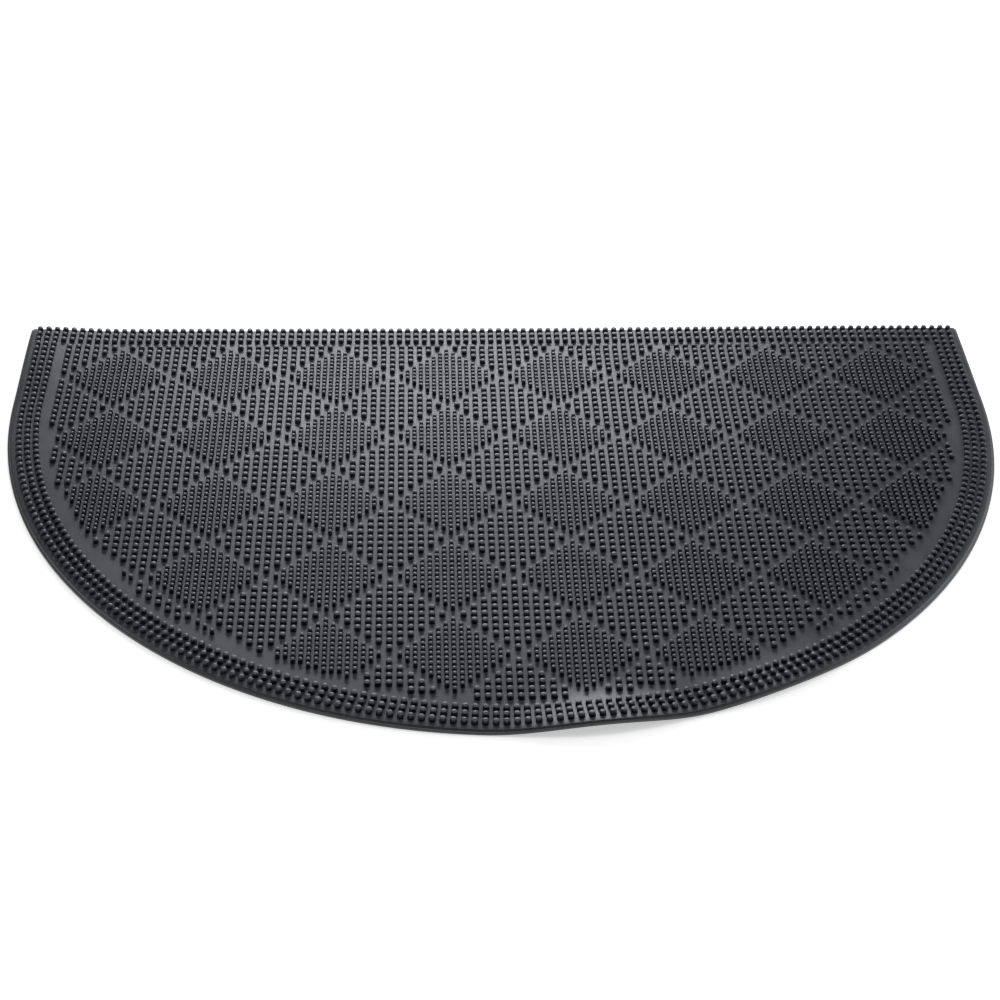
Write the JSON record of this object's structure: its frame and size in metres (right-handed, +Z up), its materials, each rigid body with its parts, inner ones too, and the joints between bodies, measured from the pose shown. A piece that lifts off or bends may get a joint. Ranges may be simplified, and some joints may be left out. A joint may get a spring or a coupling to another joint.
{
  "type": "half-round rubber doormat",
  "caption": "Half-round rubber doormat, one moulding with a stepped lip and fields of short scraping pins in a diamond pattern.",
  "frame": {"origin": "on the floor under the middle of the mat's box", "axes": "+X along the straight edge, +Y towards the straight edge, +Z up out of the pins"},
  "size_m": [0.75, 0.453, 0.0109],
  "materials": {
    "rubber": "matt moulded rubber, dark grey"
  },
  "bodies": {
    "root": {"doormat": "rubber"}
  },
  "joints": []
}
